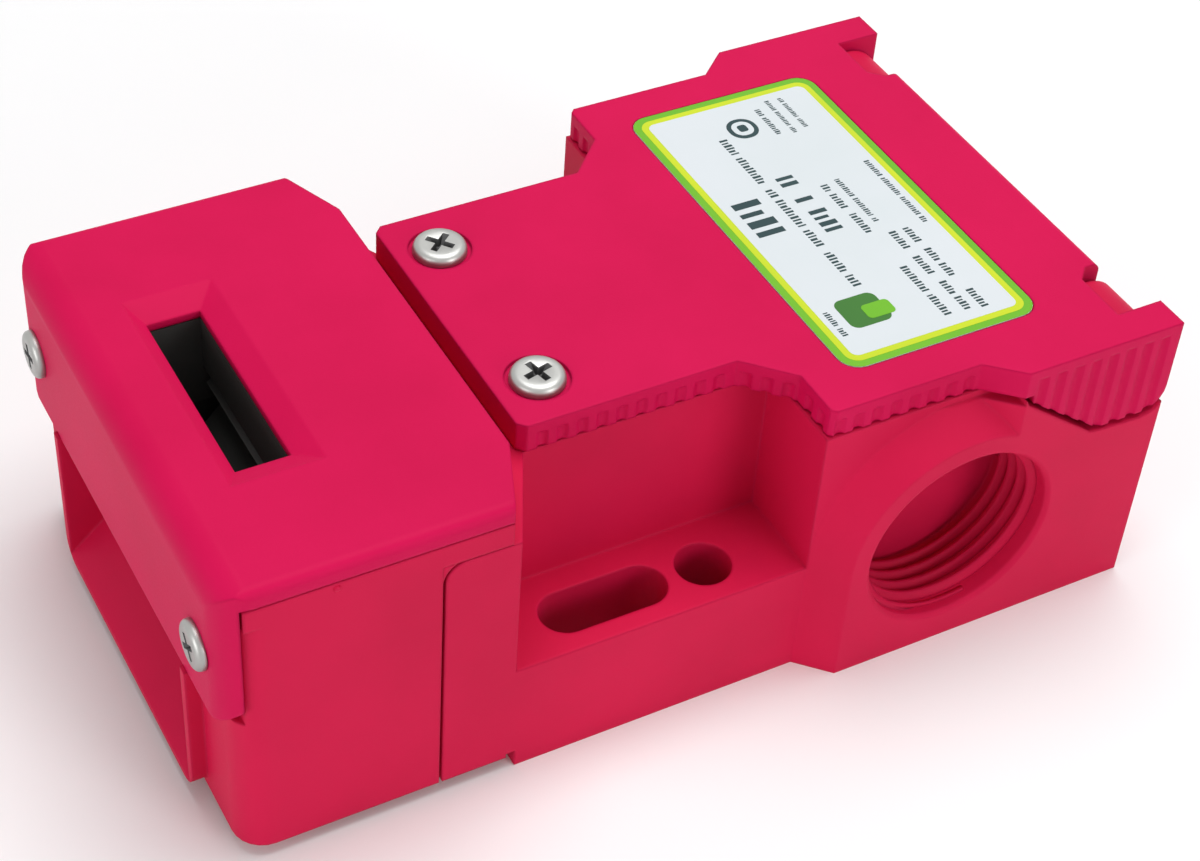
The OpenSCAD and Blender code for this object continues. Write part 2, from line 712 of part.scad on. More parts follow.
module coil(x0, length, r, turns, d) {
    w = d / 2;
    sides = 6;
    steps = 14 * turns;
    pitch = (length - d) / turns;
    rings = [for (i = [0 : steps]) each coil_ring(360 * i / 14, r, pitch, w, sides)];
    last = steps * sides;
    faces = concat(
        [[for (j = [0 : sides - 1]) j]],
        [for (i = [0 : steps - 1]) for (j = [0 : sides - 1]) let (k = (j + 1) % sides)
            [i * sides + j, (i + 1) * sides + j, (i + 1) * sides + k]],
        [for (i = [0 : steps - 1]) for (j = [0 : sides - 1]) let (k = (j + 1) % sides)
            [i * sides + j, (i + 1) * sides + k, i * sides + k]],
        [[for (j = [sides - 1 : -1 : 0]) last + j]]);
    translate([x0 + w, 0, cam_z]) polyhedron(points = rings, faces = faces, convexity = 4);
}

module carrier_spring() {
    color("silver") coil(carrier_end + 0.05, channel_end - carrier_end - 0.1, spring_r, 4, wire_d);
}

module bridge(x) {
    span([x - strip_t / 2, -bridge_half, cam_z - 1.5], [x + strip_t / 2, bridge_half, cam_z + 1.5]);
}

module contact_tip(x0, x1, y) {
    rod_x(x0, x1, 1.1, y, cam_z);
}

module safety_bridge() {
    x = safety_x;
    color("goldenrod") {
        bridge(x);
        both() contact_tip(x - strip_t / 2 - tip_h, x - strip_t / 2 + eps, tip_y);
    }
}

module aux_bridge() {
    x = aux_x;
    color("goldenrod") {
        bridge(x);
        both() contact_tip(x + strip_t / 2 - eps, x + strip_t / 2 + tip_h, tip_y);
    }
}

module bridge_springs() {
    color("silver") {
        coil(safety_x + strip_t / 2, 2.4 - strip_t / 2, 1.1, 2, wire_d / 2);
        coil(aux_x - 1.8, 1.8 - strip_t / 2, 1.1, 2, wire_d / 2);
    }
}

// Bent strip: a foot on the shelf and an upright with a contact tip.
// tip_a is the tip's root on the upright, tip_b its face.
module fixed_contact(foot_x, tip_a, tip_b) {
    strip_a = tip_a < tip_b ? tip_a - strip_t : tip_a;
    foot_a = foot_x - strip_w / 2;
    y0 = tip_y - 1.1;
    both() {
        difference() {
            union() {
                span([foot_a, y0, shelf_z], [foot_a + strip_w, block_half - 0.3, shelf_z + strip_t]);
                span([min(strip_a, foot_a), y0, shelf_z], [foot_a + strip_w, y0 + 2.2, shelf_z + strip_t]);
            }
            translate([foot_x, term_y, shelf_z - 1]) cylinder(h = 4, r = screw_r + 0.15);
        }
        span([strip_a, y0, shelf_z], [strip_a + strip_t, y0 + 2.2, cam_z + 1.4]);
        contact_tip(min(tip_a, tip_b) - eps, max(tip_a, tip_b) + eps, tip_y);
    }
}

module safety_contacts() {
    // open while the key is out
    face_x = safety_x - strip_t / 2 - tip_h - stroke - 0.1;
    color("goldenrod") fixed_contact(safety_x - 2.2, face_x - tip_h, face_x);
}

module aux_contacts() {
    // closed while the key is out
    face_x = aux_x + strip_t / 2 + tip_h + 0.1;
    color("goldenrod") fixed_contact(aux_x + 0.2, face_x + tip_h, face_x);
}

module each_terminal() {
    both() for (x = [safety_x - 2.2, aux_x + 0.2])
        translate([x, term_y, shelf_z + strip_t]) children();
}

module clamp_washers() {
    color("silver") each_terminal() difference() {
        translate([-1.9, -1.9, 0]) cube([3.8, 4.3, 0.8]);
        translate([0, 0, -1]) cylinder(h = 3, r = screw_r + 0.15);
    }
}

module terminal_screws() {
    color("silver") each_terminal() translate([0, 0, 0.8]) {
        difference() {
            cylinder(h = 1.6, r = 2);
            translate([-3, -0.35, 0.8]) cube([6, 0.7, 2]);
        }
        translate([0, 0, -4.4]) cylinder(h = 4.5, r = screw_r);
    }
}

module block_screws() {
    color("silver") both() for (x = block_screw_x)
        translate([x, block_screw_y, shelf_z]) {
            difference() {
                cylinder(h = 1.4, r = 1.5 + 0.05);
                translate([-3, -0.3, 0.7]) cube([6, 0.6, 2]);
            }
            translate([0, 0, -9]) cylinder(h = 9.1, r = 1.25);
        }
}

place() base_housing();
place() lid();
place() lid_gasket();
place() label_plate();
place() lid_screws();
place() hinge_pins();
place() head_housing();
place() head_cap();
place() key_guide();
place() cap_screws();
place() cam_wheel();
place() cam_axle();
place() plunger();
place() plunger_seal();
place() contact_housing();
place() contact_cover();
place() contact_carrier();
place() carrier_spring();
place() safety_bridge();
place() aux_bridge();
place() bridge_springs();
place() safety_contacts();
place() aux_contacts();
place() clamp_washers();
place() terminal_screws();
place() block_screws();
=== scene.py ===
import bpy
import math
from mathutils import Matrix, Vector


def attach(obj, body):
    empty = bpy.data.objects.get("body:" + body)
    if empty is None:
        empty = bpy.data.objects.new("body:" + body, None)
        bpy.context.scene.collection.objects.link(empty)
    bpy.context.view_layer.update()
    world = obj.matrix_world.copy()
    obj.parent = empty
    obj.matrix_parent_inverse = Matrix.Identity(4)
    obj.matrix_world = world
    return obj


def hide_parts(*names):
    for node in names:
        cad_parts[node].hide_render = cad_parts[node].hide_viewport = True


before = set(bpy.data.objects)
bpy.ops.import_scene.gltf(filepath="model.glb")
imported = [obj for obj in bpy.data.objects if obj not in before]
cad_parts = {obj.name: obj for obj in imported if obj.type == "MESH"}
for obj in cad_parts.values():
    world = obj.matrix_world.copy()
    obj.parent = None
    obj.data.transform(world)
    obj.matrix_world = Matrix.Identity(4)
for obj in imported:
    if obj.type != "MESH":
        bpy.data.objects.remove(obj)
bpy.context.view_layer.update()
print("frame loaded")

middleX = 46.85  # mm from the head's end face to the middle of the box
mm = 0.001
# degrees below which two faces are shaded as one
smoothAngles = {"box": 40, "web": 30, "gate": 40, "screw": 32, "thread": 40}


def at(x, y, z):
    return Vector(((x - middleX) * mm, y * mm, z * mm))


def onlySelect(obj):
    if bpy.context.object and bpy.context.object.mode == "EDIT":
        bpy.ops.object.mode_set(mode="OBJECT")
    bpy.ops.object.select_all(action="DESELECT")
    obj.select_set(True)
    bpy.context.view_layer.objects.active = obj


def editAll(obj):
    onlySelect(obj)
    bpy.ops.object.mode_set(mode="EDIT")
    bpy.ops.mesh.select_all(action="SELECT")


def leaveEdit():
    bpy.ops.object.mode_set(mode="OBJECT")


def applyModifiers(obj):
    onlySelect(obj)
    for name in [m.name for m in obj.modifiers]:
        bpy.ops.object.modifier_apply(modifier=name)


def smoothByAngle(obj, degrees):
    onlySelect(obj)
    bpy.ops.object.shade_smooth_by_angle(angle=math.radians(degrees))


def giveMaterial(obj, material):
    obj.data.materials.clear()
    obj.data.materials.append(material)


def copyOf(obj, name, matrix):
    twin = bpy.data.objects.new(name, obj.data.copy())
    bpy.context.scene.collection.objects.link(twin)
    twin.data.transform(matrix)
    return twin


# sockets of the mix node when it mixes colours and when it mixes numbers
colourA, colourB, colourOut = 6, 7, 2
numberA, numberB, numberOut = 2, 3, 0
skinNoise = {"fineDetail": 3, "slowScale": 70, "slowDetail": 4, "from": 0.35, "to": 0.7}
metalNoise = {"stretch": (1, 6, 6), "scratchDetail": 5, "cloudScale": 420}


def newGroup(name, inputs, outputs):
    group = bpy.data.node_groups.new(name, "ShaderNodeTree")
    for label, kind, value in inputs:
        socket = group.interface.new_socket(name=label, in_out="INPUT", socket_type=kind)
        socket.default_value = value
    for label, kind in outputs:
        group.interface.new_socket(name=label, in_out="OUTPUT", socket_type=kind)
    return group, group.nodes.new("NodeGroupInput"), group.nodes.new("NodeGroupOutput")


def mixColours(tree):
    node = tree.nodes.new("ShaderNodeMix")
    node.data_type = "RGBA"
    return node


def spreadRoughness(group, source, sink, noise):
    # the roughness rises with the noise by the group's Roughness Change
    spread = group.nodes.new("ShaderNodeMath")
    spread.operation = "MULTIPLY_ADD"
    group.links.new(noise.outputs["Fac"], spread.inputs[0])
    group.links.new(source.outputs["Roughness Change"], spread.inputs[1])
    group.links.new(source.outputs["Roughness"], spread.inputs[2])
    group.links.new(spread.outputs["Value"], sink.inputs["Roughness"])


def buildMouldedSkin():
    # fine grain of a spark-eroded mould, with a slow change of shade
    group, source, sink = newGroup("mouldedSkin",
        [("Colour", "NodeSocketColor", (0.5, 0.5, 0.5, 1)),
         ("Shade Colour", "NodeSocketColor", (0.4, 0.4, 0.4, 1)),
         ("Grain Scale", "NodeSocketFloat", 5200.0), ("Roughness", "NodeSocketFloat", 0.45),
         ("Roughness Change", "NodeSocketFloat", 0.12)],
        [("Colour", "NodeSocketColor"), ("Roughness", "NodeSocketFloat"), ("Grain", "NodeSocketFloat")])
    nodes, links = group.nodes, group.links
    coords = nodes.new("ShaderNodeTexCoord")
    fine = nodes.new("ShaderNodeTexNoise")
    fine.inputs["Detail"].default_value = skinNoise["fineDetail"]
    links.new(coords.outputs["Object"], fine.inputs["Vector"])
    links.new(source.outputs["Grain Scale"], fine.inputs["Scale"])
    slow = nodes.new("ShaderNodeTexNoise")
    slow.inputs["Scale"].default_value = skinNoise["slowScale"]
    slow.inputs["Detail"].default_value = skinNoise["slowDetail"]
    links.new(coords.outputs["Object"], slow.inputs["Vector"])
    patch = nodes.new("ShaderNodeMapRange")
    patch.inputs["From Min"].default_value = skinNoise["from"]
    patch.inputs["From Max"].default_value = skinNoise["to"]
    links.new(slow.outputs["Fac"], patch.inputs["Value"])
    shade = mixColours(group)
    links.new(patch.outputs["Result"], shade.inputs["Factor"])
    links.new(source.outputs["Colour"], shade.inputs[colourA])
    links.new(source.outputs["Shade Colour"], shade.inputs[colourB])
    links.new(shade.outputs[colourOut], sink.inputs["Colour"])
    spreadRoughness(group, source, sink, fine)
    links.new(fine.outputs["Fac"], sink.inputs["Grain"])
    return group


def buildDrawnMetal():
    # fine scratches and a soft cloud of tarnish
    group, source, sink = newGroup("drawnMetal",
        [("Colour", "NodeSocketColor", (0.7, 0.7, 0.7, 1)),
         ("Tarnish Colour", "NodeSocketColor", (0.5, 0.5, 0.5, 1)),
         ("Scratch Scale", "NodeSocketFloat", 900.0), ("Roughness", "NodeSocketFloat", 0.28),
         ("Roughness Change", "NodeSocketFloat", 0.2)],
        [("Colour", "NodeSocketColor"), ("Roughness", "NodeSocketFloat"), ("Scratch", "NodeSocketFloat")])
    nodes, links = group.nodes, group.links
    coords = nodes.new("ShaderNodeTexCoord")
    stretch = nodes.new("ShaderNodeMapping")
    stretch.inputs["Scale"].default_value = metalNoise["stretch"]
    scratch = nodes.new("ShaderNodeTexNoise")
    scratch.inputs["Detail"].default_value = metalNoise["scratchDetail"]
    cloud = nodes.new("ShaderNodeTexNoise")
    cloud.inputs["Scale"].default_value = metalNoise["cloudScale"]
    links.new(coords.outputs["Object"], stretch.inputs["Vector"])
    links.new(stretch.outputs["Vector"], scratch.inputs["Vector"])
    links.new(source.outputs["Scratch Scale"], scratch.inputs["Scale"])
    links.new(coords.outputs["Object"], cloud.inputs["Vector"])
    tarnish = mixColours(group)
    links.new(cloud.outputs["Fac"], tarnish.inputs["Factor"])
    links.new(source.outputs["Colour"], tarnish.inputs[colourA])
    links.new(source.outputs["Tarnish Colour"], tarnish.inputs[colourB])
    links.new(tarnish.outputs[colourOut], sink.inputs["Colour"])
    spreadRoughness(group, source, sink, scratch)
    links.new(scratch.outputs["Fac"], sink.inputs["Scratch"])
    return group


skinGroup = buildMouldedSkin()
metalGroup = buildDrawnMetal()


def makeMaterial(name, group, values, heightOutput, bumpHeight, metallic=0.0, specular=0.5, edge=0.0):
    # bumpHeight is in metres and edge, the radius that rounds the edges, in mm
    material = bpy.data.materials.new(name)
    material.use_nodes = True
    nodes, links = material.node_tree.nodes, material.node_tree.links
    shader = nodes["Principled BSDF"]
    shader.inputs["Metallic"].default_value = metallic
    shader.inputs["Specular IOR Level"].default_value = specular
    surface = nodes.new("ShaderNodeGroup")
    surface.node_tree = group
    for label, value in values.items():
        surface.inputs[label].default_value = value
    bump = nodes.new("ShaderNodeBump")
    bump.inputs["Strength"].default_value = 1
    bump.inputs["Distance"].default_value = bumpHeight
    links.new(surface.outputs["Colour"], shader.inputs["Base Color"])
    links.new(surface.outputs["Roughness"], shader.inputs["Roughness"])
    links.new(surface.outputs[heightOutput], bump.inputs["Height"])
    if edge:
        rounding = nodes.new("ShaderNodeBevel")
        rounding.samples = 8
        rounding.inputs["Radius"].default_value = edge * mm
        links.new(rounding.outputs["Normal"], bump.inputs["Normal"])
    links.new(bump.outputs["Normal"], shader.inputs["Normal"])
    return material


def plastic(name, colour, shade, roughness, grain=5200.0, bump=0.000012, specular=0.5, edge=0.0):
    values = {"Colour": colour, "Shade Colour": shade, "Grain Scale": grain, "Roughness": roughness,
              "Roughness Change": 0.12}
    return makeMaterial(name, skinGroup, values, "Grain", bump, specular=specular, edge=edge)


def metal(name, colour, tarnish, roughness):
    values = {"Colour": colour, "Tarnish Colour": tarnish, "Scratch Scale": 900.0, "Roughness": roughness,
              "Roughness Change": 0.2}
    return makeMaterial(name, metalGroup, values, "Scratch", 0.000004, metallic=1.0)


crimsonLid = plastic("crimsonLid", (0.61, 0.005, 0.077, 1), (0.56, 0.004, 0.067, 1), 0.46,
    specular=0.07, edge=0.45)
crimsonBody = plastic("crimsonBody", (0.62, 0.008, 0.063, 1), (0.56, 0.007, 0.055, 1), 0.5,
    specular=0.1, edge=0.45)
camBlack = plastic("camBlack", (0.045, 0.045, 0.042, 1), (0.055, 0.055, 0.052, 1), 0.4)
blockBlack = plastic("blockBlack", (0.02, 0.02, 0.022, 1), (0.03, 0.03, 0.032, 1), 0.45)
naturalWhite = plastic("naturalWhite", (0.78, 0.74, 0.65, 1), (0.7, 0.66, 0.57, 1), 0.4)
softRubber = plastic("softRubber", (0.018, 0.018, 0.018, 1), (0.03, 0.03, 0.03, 1), 0.7, 2600.0, 0.00002)
screwGrey = metal("screwGrey", (0.46, 0.46, 0.44, 1), (0.34, 0.34, 0.33, 1), 0.3)
# dark metal for the screws' cross recesses: painted shade, standing in for the shadow inside the recess
crossPaintedShade = metal("crossPaintedShade", (0.1, 0.1, 0.1, 1), (0.06, 0.06, 0.06, 1), 0.45)
zincPlate = metal("zincPlate", (0.6, 0.6, 0.57, 1), (0.44, 0.44, 0.42, 1), 0.2)
springWire = metal("springWire", (0.5, 0.5, 0.5, 1), (0.36, 0.36, 0.37, 1), 0.25)
contactBrass = metal("contactBrass", (0.72, 0.5, 0.2, 1), (0.55, 0.36, 0.14, 1), 0.25)


def ink(name, colour, shade):
    return plastic(name, colour, shade, 0.3, grain=1800.0, bump=0.000002, specular=0.3)


filmWhite = ink("filmWhite", (0.66, 0.7, 0.73, 1), (0.63, 0.68, 0.7, 1))
inkGreen = ink("inkGreen", (0.13, 0.42, 0.008, 1), (0.16, 0.45, 0.01, 1))
inkLeaf = ink("inkLeaf", (0.03, 0.15, 0.014, 1), (0.04, 0.18, 0.016, 1))
inkYellow = ink("inkYellow", (0.56, 0.66, 0.01, 1), (0.5, 0.62, 0.01, 1))
inkTeal = ink("inkTeal", (0.008, 0.035, 0.04, 1), (0.012, 0.045, 0.05, 1))
print("materials made")

# moulded parts: the narrow flats of their arcs are blended, and the material rounds the edges
mouldedParts = {
    "base_housing": {"piece": "baseShell", "body": "body", "slot": "body_red", "skin": crimsonBody},
    "head_housing": {"piece": "headShell", "body": "body", "slot": "body_red", "skin": crimsonBody},
    "head_cap": {"piece": "capShell", "body": "body", "slot": "lid_red", "skin": crimsonLid},
    "lid": {"piece": "lidShell", "body": "lid", "slot": "lid_red", "skin": crimsonLid},
}
blend = {"angle": 19.0, "areaShare": 0.34, "flatCosine": 0.9998, "mergeGap": 0.002}


def spotOf(v):
    return tuple(round(c / mm, 2) for c in v.co)


def planeOf(face):
    return tuple(round(c, 2) for c in face.normal) + (round(face.center.dot(face.normal) / mm, 1),)


def blendedNormals(mesh):
    # curved faces keep the solid's own normals; a narrow flat takes its wide neighbour's
    # normal, and narrow flats side by side share one
    normals = [corner.vector.copy() for corner in mesh.corner_normals]
    areas, meeting, flats = {}, {}, []
    for face in mesh.polygons:
        if all(normals[i].dot(face.normal) > blend["flatCosine"] for i in face.loop_indices):
            plane = planeOf(face)
            areas[plane] = areas.get(plane, 0) + face.area
            flats.append((face, plane))
    for face, plane in flats:
        for v in face.vertices:
            meeting.setdefault(spotOf(mesh.vertices[v]), {})[plane] = face.normal.copy()
    limit = math.cos(math.radians(blend["angle"]))
    for face, plane in flats:
        for v, i in zip(face.vertices, face.loop_indices):
            meetingHere = meeting[spotOf(mesh.vertices[v])]
            near = {p: n for p, n in meetingHere.items() if n.dot(face.normal) > limit}
            widest = max(areas[p] for p in near)
            shared = Vector((0, 0, 0))
            for p, n in near.items():
                if areas[p] >= widest * blend["areaShare"]:
                    shared += n
            normals[i] = shared.normalized()
    return normals


# the cap's underside and the back of its end plate, in mm, moved off the head by a hair
seam = {"underside": 31.8, "plateBack": 2.2, "gap": 0.14, "near": 0.01}


def openSeam(mesh):
    for v in mesh.vertices:
        if abs(v.co.z / mm - seam["underside"]) < seam["near"]:
            v.co.z += seam["gap"] * mm
        if abs(v.co.x / mm + middleX - seam["plateBack"]) < seam["near"]:
            v.co.x -= seam["gap"] * mm


# the slanted wall of the pocket under each cheek, in mm, brought closer to the cheek
pocket = {"top": (77.9, 28.18), "foot": (86.44, 21.7), "inner": 24.4, "shift": 0.36, "near": 0.03,
          "past": 0.1}


def narrowPocket(mesh):
    top, foot = Vector(pocket["top"]), Vector(pocket["foot"])
    length = (foot - top).length
    along = (foot - top).normalized()
    outward = Vector((-along.y, along.x))
    for v in mesh.vertices:
        place = Vector((v.co.x / mm + middleX, v.co.z / mm)) - top
        onWall = abs(place.dot(outward)) < pocket["near"]
        onWall = onWall and -pocket["past"] < place.dot(along) < length + pocket["past"]
        if onWall and abs(v.co.y) / mm > pocket["inner"]:
            v.co.x += outward.x * pocket["shift"] * mm
            v.co.z += outward.y * pocket["shift"] * mm


def smoothPart(nodeName, values):
    shell = bpy.data.objects.new(values["piece"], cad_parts[nodeName].data.copy())
    bpy.context.scene.collection.objects.link(shell)
    # the normals wait in an attribute while the doubled corners are merged
    waiting = shell.data.attributes.new("cornerNormal", "FLOAT_VECTOR", "CORNER")
    waiting.data.foreach_set("vector", [c for normal in blendedNormals(shell.data) for c in normal])
    if nodeName == "head_cap":
        openSeam(shell.data)
    if nodeName == "base_housing":
        narrowPocket(shell.data)
    editAll(shell)
    bpy.ops.mesh.remove_doubles(threshold=blend["mergeGap"] * mm)
    bpy.ops.mesh.faces_shade_smooth()
    leaveEdit()
    waiting = shell.data.attributes["cornerNormal"]
    shell.data.normals_split_custom_set([corner.vector.normalized() for corner in waiting.data])
    shell.data.attributes.remove(shell.data.attributes["cornerNormal"])
    giveMaterial(shell, values["skin"])
    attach(shell, values["body"])
    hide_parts(nodeName)


for nodeName, values in mouldedParts.items():
    smoothPart(nodeName, values)
print("moulded parts smoothed")

# pieces that keep the frame's own solids
keptNodes = {
    "lid_gasket": softRubber, "plunger_seal": softRubber, "hinge_pins": zincPlate,
    "cam_wheel": camBlack, "key_guide": camBlack, "cam_axle": zincPlate, "plunger": naturalWhite,
    "contact_housing": blockBlack, "contact_cover": blockBlack, "contact_carrier": naturalWhite,
    "carrier_spring": springWire, "safety_bridge": contactBrass, "aux_bridge": contactBrass,
    "bridge_springs": springWire, "safety_contacts": contactBrass, "aux_contacts": contactBrass,
    "clamp_washers": zincPlate, "terminal_screws": zincPlate, "block_screws": zincPlate,
    "label_plate": filmWhite,
}
for nodeName, skin in keptNodes.items():
    giveMaterial(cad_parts[nodeName], skin)

# black wear plates at the ends of the cam chamber, in mm
wear = {"x": (7.4, 14.4), "z": (8.2, 21.9), "y": (11.32, 11.47), "rounding": 0.05}


def addBox(name, spans, side, skin):
    # spans gives the first and last x, y and z; side -1 mirrors the box in y
    ys = sorted(side * y for y in spans["y"])
    low, high = zip(spans["x"], ys, spans["z"])
    bpy.ops.object.select_all(action="DESELECT")
    bpy.ops.mesh.primitive_cube_add(size=1)
    box = bpy.context.active_object
    box.name = name
    for v in box.data.vertices:
        v.co = at(*(b if c > 0 else a for a, b, c in zip(low, high, v.co)))
    editAll(box)
    bpy.ops.mesh.bevel(offset=spans["rounding"] * mm, segments=3, affect="EDGES")
    leaveEdit()
    smoothByAngle(box, smoothAngles["box"])
    giveMaterial(box, skin)
    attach(box, "body")
    return box


for side, name in ((1, "wearPlateRight"), (-1, "wearPlateLeft")):
    plate = addBox(name, wear, side, camBlack)

# webs of the head that follow the cheeks' rounded upper corners, in mm
web = {"x": (20.1, 22.4), "z": (27.3, 29.4), "y": (23.45, 25.2), "rounding": 0.05, "radius": 2.3,
       "cutDepth": 4.0}


def addWeb(name, side):
    block = addBox(name, web, side, crimsonBody)
    bpy.ops.object.select_all(action="DESELECT")
    bpy.ops.mesh.primitive_cylinder_add(vertices=96, radius=web["radius"] * mm, depth=web["cutDepth"] * mm)
    cutter = bpy.context.active_object
    middle = side * sum(web["y"]) / 2
    cutter.data.transform(Matrix.Translation(at(web["x"][1], middle, web["z"][0]))
        @ Matrix.Rotation(math.radians(90), 4, "X"))
    cut = block.modifiers.new("corner", "BOOLEAN")
    cut.operation = "DIFFERENCE"
    cut.object = cutter
    applyModifiers(block)
    bpy.data.objects.remove(cutter)
    smoothByAngle(block, smoothAngles["web"])


addWeb("cornerWebRight", 1)
addWeb("cornerWebLeft", -1)

# the moulding's gate mark, in mm
gate = {"place": (10.5, -25.2, 31.2), "radius": 0.4, "halfWidth": 0.3, "rise": 0.5, "height": 0.8}

bpy.ops.object.select_all(action="DESELECT")
bpy.ops.mesh.primitive_uv_sphere_add(segments=24, ring_count=12, radius=gate["radius"] * mm)
gateMark = bpy.context.active_object
gateMark.name = "gateMark"
for v in gateMark.data.vertices:
    v.co.x = max(min(v.co.x, gate["halfWidth"] * mm), -gate["halfWidth"] * mm)
gateMark.data.transform(Matrix.Translation(at(*gate["place"]))
    @ Matrix.Diagonal((1, gate["rise"], gate["height"], 1)))
smoothByAngle(gateMark, smoothAngles["gate"])
giveMaterial(gateMark, crimsonBody)
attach(gateMark, "body")
print("small pieces added")

# pan head screws, in mm; the cross narrows towards its foot
screw = {"headRadius": 2.6, "headHeight": 1.15, "domeWidth": 0.85, "crossLength": 2.9, "crossWidth": 0.62,
         "crossDepth": 0.85, "crossPast": 0.1, "lengthShares": (0.42, 1.05), "widthShares": (0.6, 1.1),
         "domeProfile": 0.55, "shaftRadius": 1.45, "shaftLength": 7.0, "softEdge": 0.06,
         "softAngle": 40}


def addCrossCutter(name, turned):
    bpy.ops.object.select_all(action="DESELECT")
    bpy.ops.mesh.primitive_cube_add(size=1)
    cutter = bpy.context.active_object
    cutter.name = name
    heights = (screw["headHeight"] - screw["crossDepth"], screw["headHeight"] + screw["crossPast"])
    for v in cutter.data.vertices:
        level = 0 if v.co.z < 0 else 1
        length = screw["crossLength"] * screw["lengthShares"][level]
        width = screw["crossWidth"] * screw["widthShares"][level]
        corner = (math.copysign(length / 2, v.co.x), math.copysign(width / 2, v.co.y), heights[level])
        v.co = Vector(corner) * mm
    if turned:
        cutter.data.transform(Matrix.Rotation(math.radians(90), 4, "Z"))
    # the cutter carries the dark metal that becomes painted shade in the cross
    giveMaterial(cutter, crossPaintedShade)
    return cutter


def makeScrew():
    bpy.ops.object.select_all(action="DESELECT")
    bpy.ops.mesh.primitive_cylinder_add(vertices=72, radius=screw["headRadius"] * mm,
        depth=screw["headHeight"] * mm, location=(0, 0, screw["headHeight"] * mm / 2))
    head = bpy.context.active_object
    bpy.ops.object.transform_apply(location=True, rotation=True, scale=True)
    editAll(head)
    bpy.ops.mesh.select_all(action="DESELECT")
    leaveEdit()
    # only the upper rim is rounded
    for edge in head.data.edges:
        a, b = (head.data.vertices[i].co for i in edge.vertices)
        edge.select = min(a.z, b.z) > 0.5 * screw["headHeight"] * mm
    bpy.ops.object.mode_set(mode="EDIT")
    bpy.ops.mesh.bevel(offset=screw["domeWidth"] * mm, segments=8, profile=screw["domeProfile"],
        affect="EDGES")
    leaveEdit()
    giveMaterial(head, screwGrey)
    for turned in (False, True):
        cutter = addCrossCutter("crossCutter", turned)
        cut = head.modifiers.new("cross", "BOOLEAN")
        cut.operation = "DIFFERENCE"
        # the cross's faces take the cutter's dark metal as painted shade
        cut.material_mode = "TRANSFER"
        cut.object = cutter
        applyModifiers(head)
        bpy.data.objects.remove(cutter)
    bpy.ops.object.select_all(action="DESELECT")
    bpy.ops.mesh.primitive_cylinder_add(vertices=40, radius=screw["shaftRadius"] * mm,
        depth=screw["shaftLength"] * mm, location=(0, 0, -screw["shaftLength"] * mm / 2))
    shaft = bpy.context.active_object
    giveMaterial(shaft, screwGrey)
    bpy.ops.object.select_all(action="DESELECT")
    shaft.select_set(True)
    head.select_set(True)
    bpy.context.view_layer.objects.active = head
    bpy.ops.object.join()
    soft = head.modifiers.new("softEdges", "BEVEL")
    soft.width = screw["softEdge"] * mm
    soft.segments = 2
    soft.limit_method = "ANGLE"
    soft.angle_limit = math.radians(screw["softAngle"])
    applyModifiers(head)
    smoothByAngle(head, smoothAngles["screw"])
    return head


# seats in mm, the turn of each cross in degrees, and the scale of the heads in the end plate
upright = Matrix.Identity(4)
endwise = Matrix.Rotation(math.radians(-90), 4, "Y")
screwPlaces = {
    "lidScrewLeft": {"seat": (36.5, -10.1, 32.15), "way": upright, "turn": 14, "body": "lid"},
    "lidScrewRight": {"seat": (36.5, 10.1, 32.15), "way": upright, "turn": 40, "body": "lid"},
    "capScrewLeft": {"seat": (0, -20.2, 24.5), "way": endwise, "turn": 35, "body": "body"},
    "capScrewRight": {"seat": (0, 20.2, 24.5), "way": endwise, "turn": 12, "body": "body"},
}
capScale = Matrix.Diagonal((0.9, 0.9, 0.78, 1))


def placeScrews():
    pattern = makeScrew()
    for name, values in screwPlaces.items():
        onLid = values["body"] == "lid"
        matrix = Matrix.Translation(at(*values["seat"])) @ values["way"]
        matrix = matrix @ Matrix.Rotation(math.radians(values["turn"]), 4, "Z")
        piece = copyOf(pattern, name, matrix if onLid else matrix @ capScale)
        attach(piece, values["body"])
        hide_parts("lid_screws" if onLid else "cap_screws")
    bpy.data.objects.remove(pattern)


placeScrews()
print("screws placed")

# threads of the cable entries, in mm; the ridge's section is given in shares of the pitch
thread = {"wallRadius": 10.04, "crestRadius": 9.25, "pitch": 1.5, "turns": 4.8, "start": 0.45,
          "runOut": 0.35, "foot": (0.02, 0.94), "crest": (0.4, 0.56), "leastHeight": 0.02,
          "stepsPerTurn": 64, "mergeGap": 0.001}


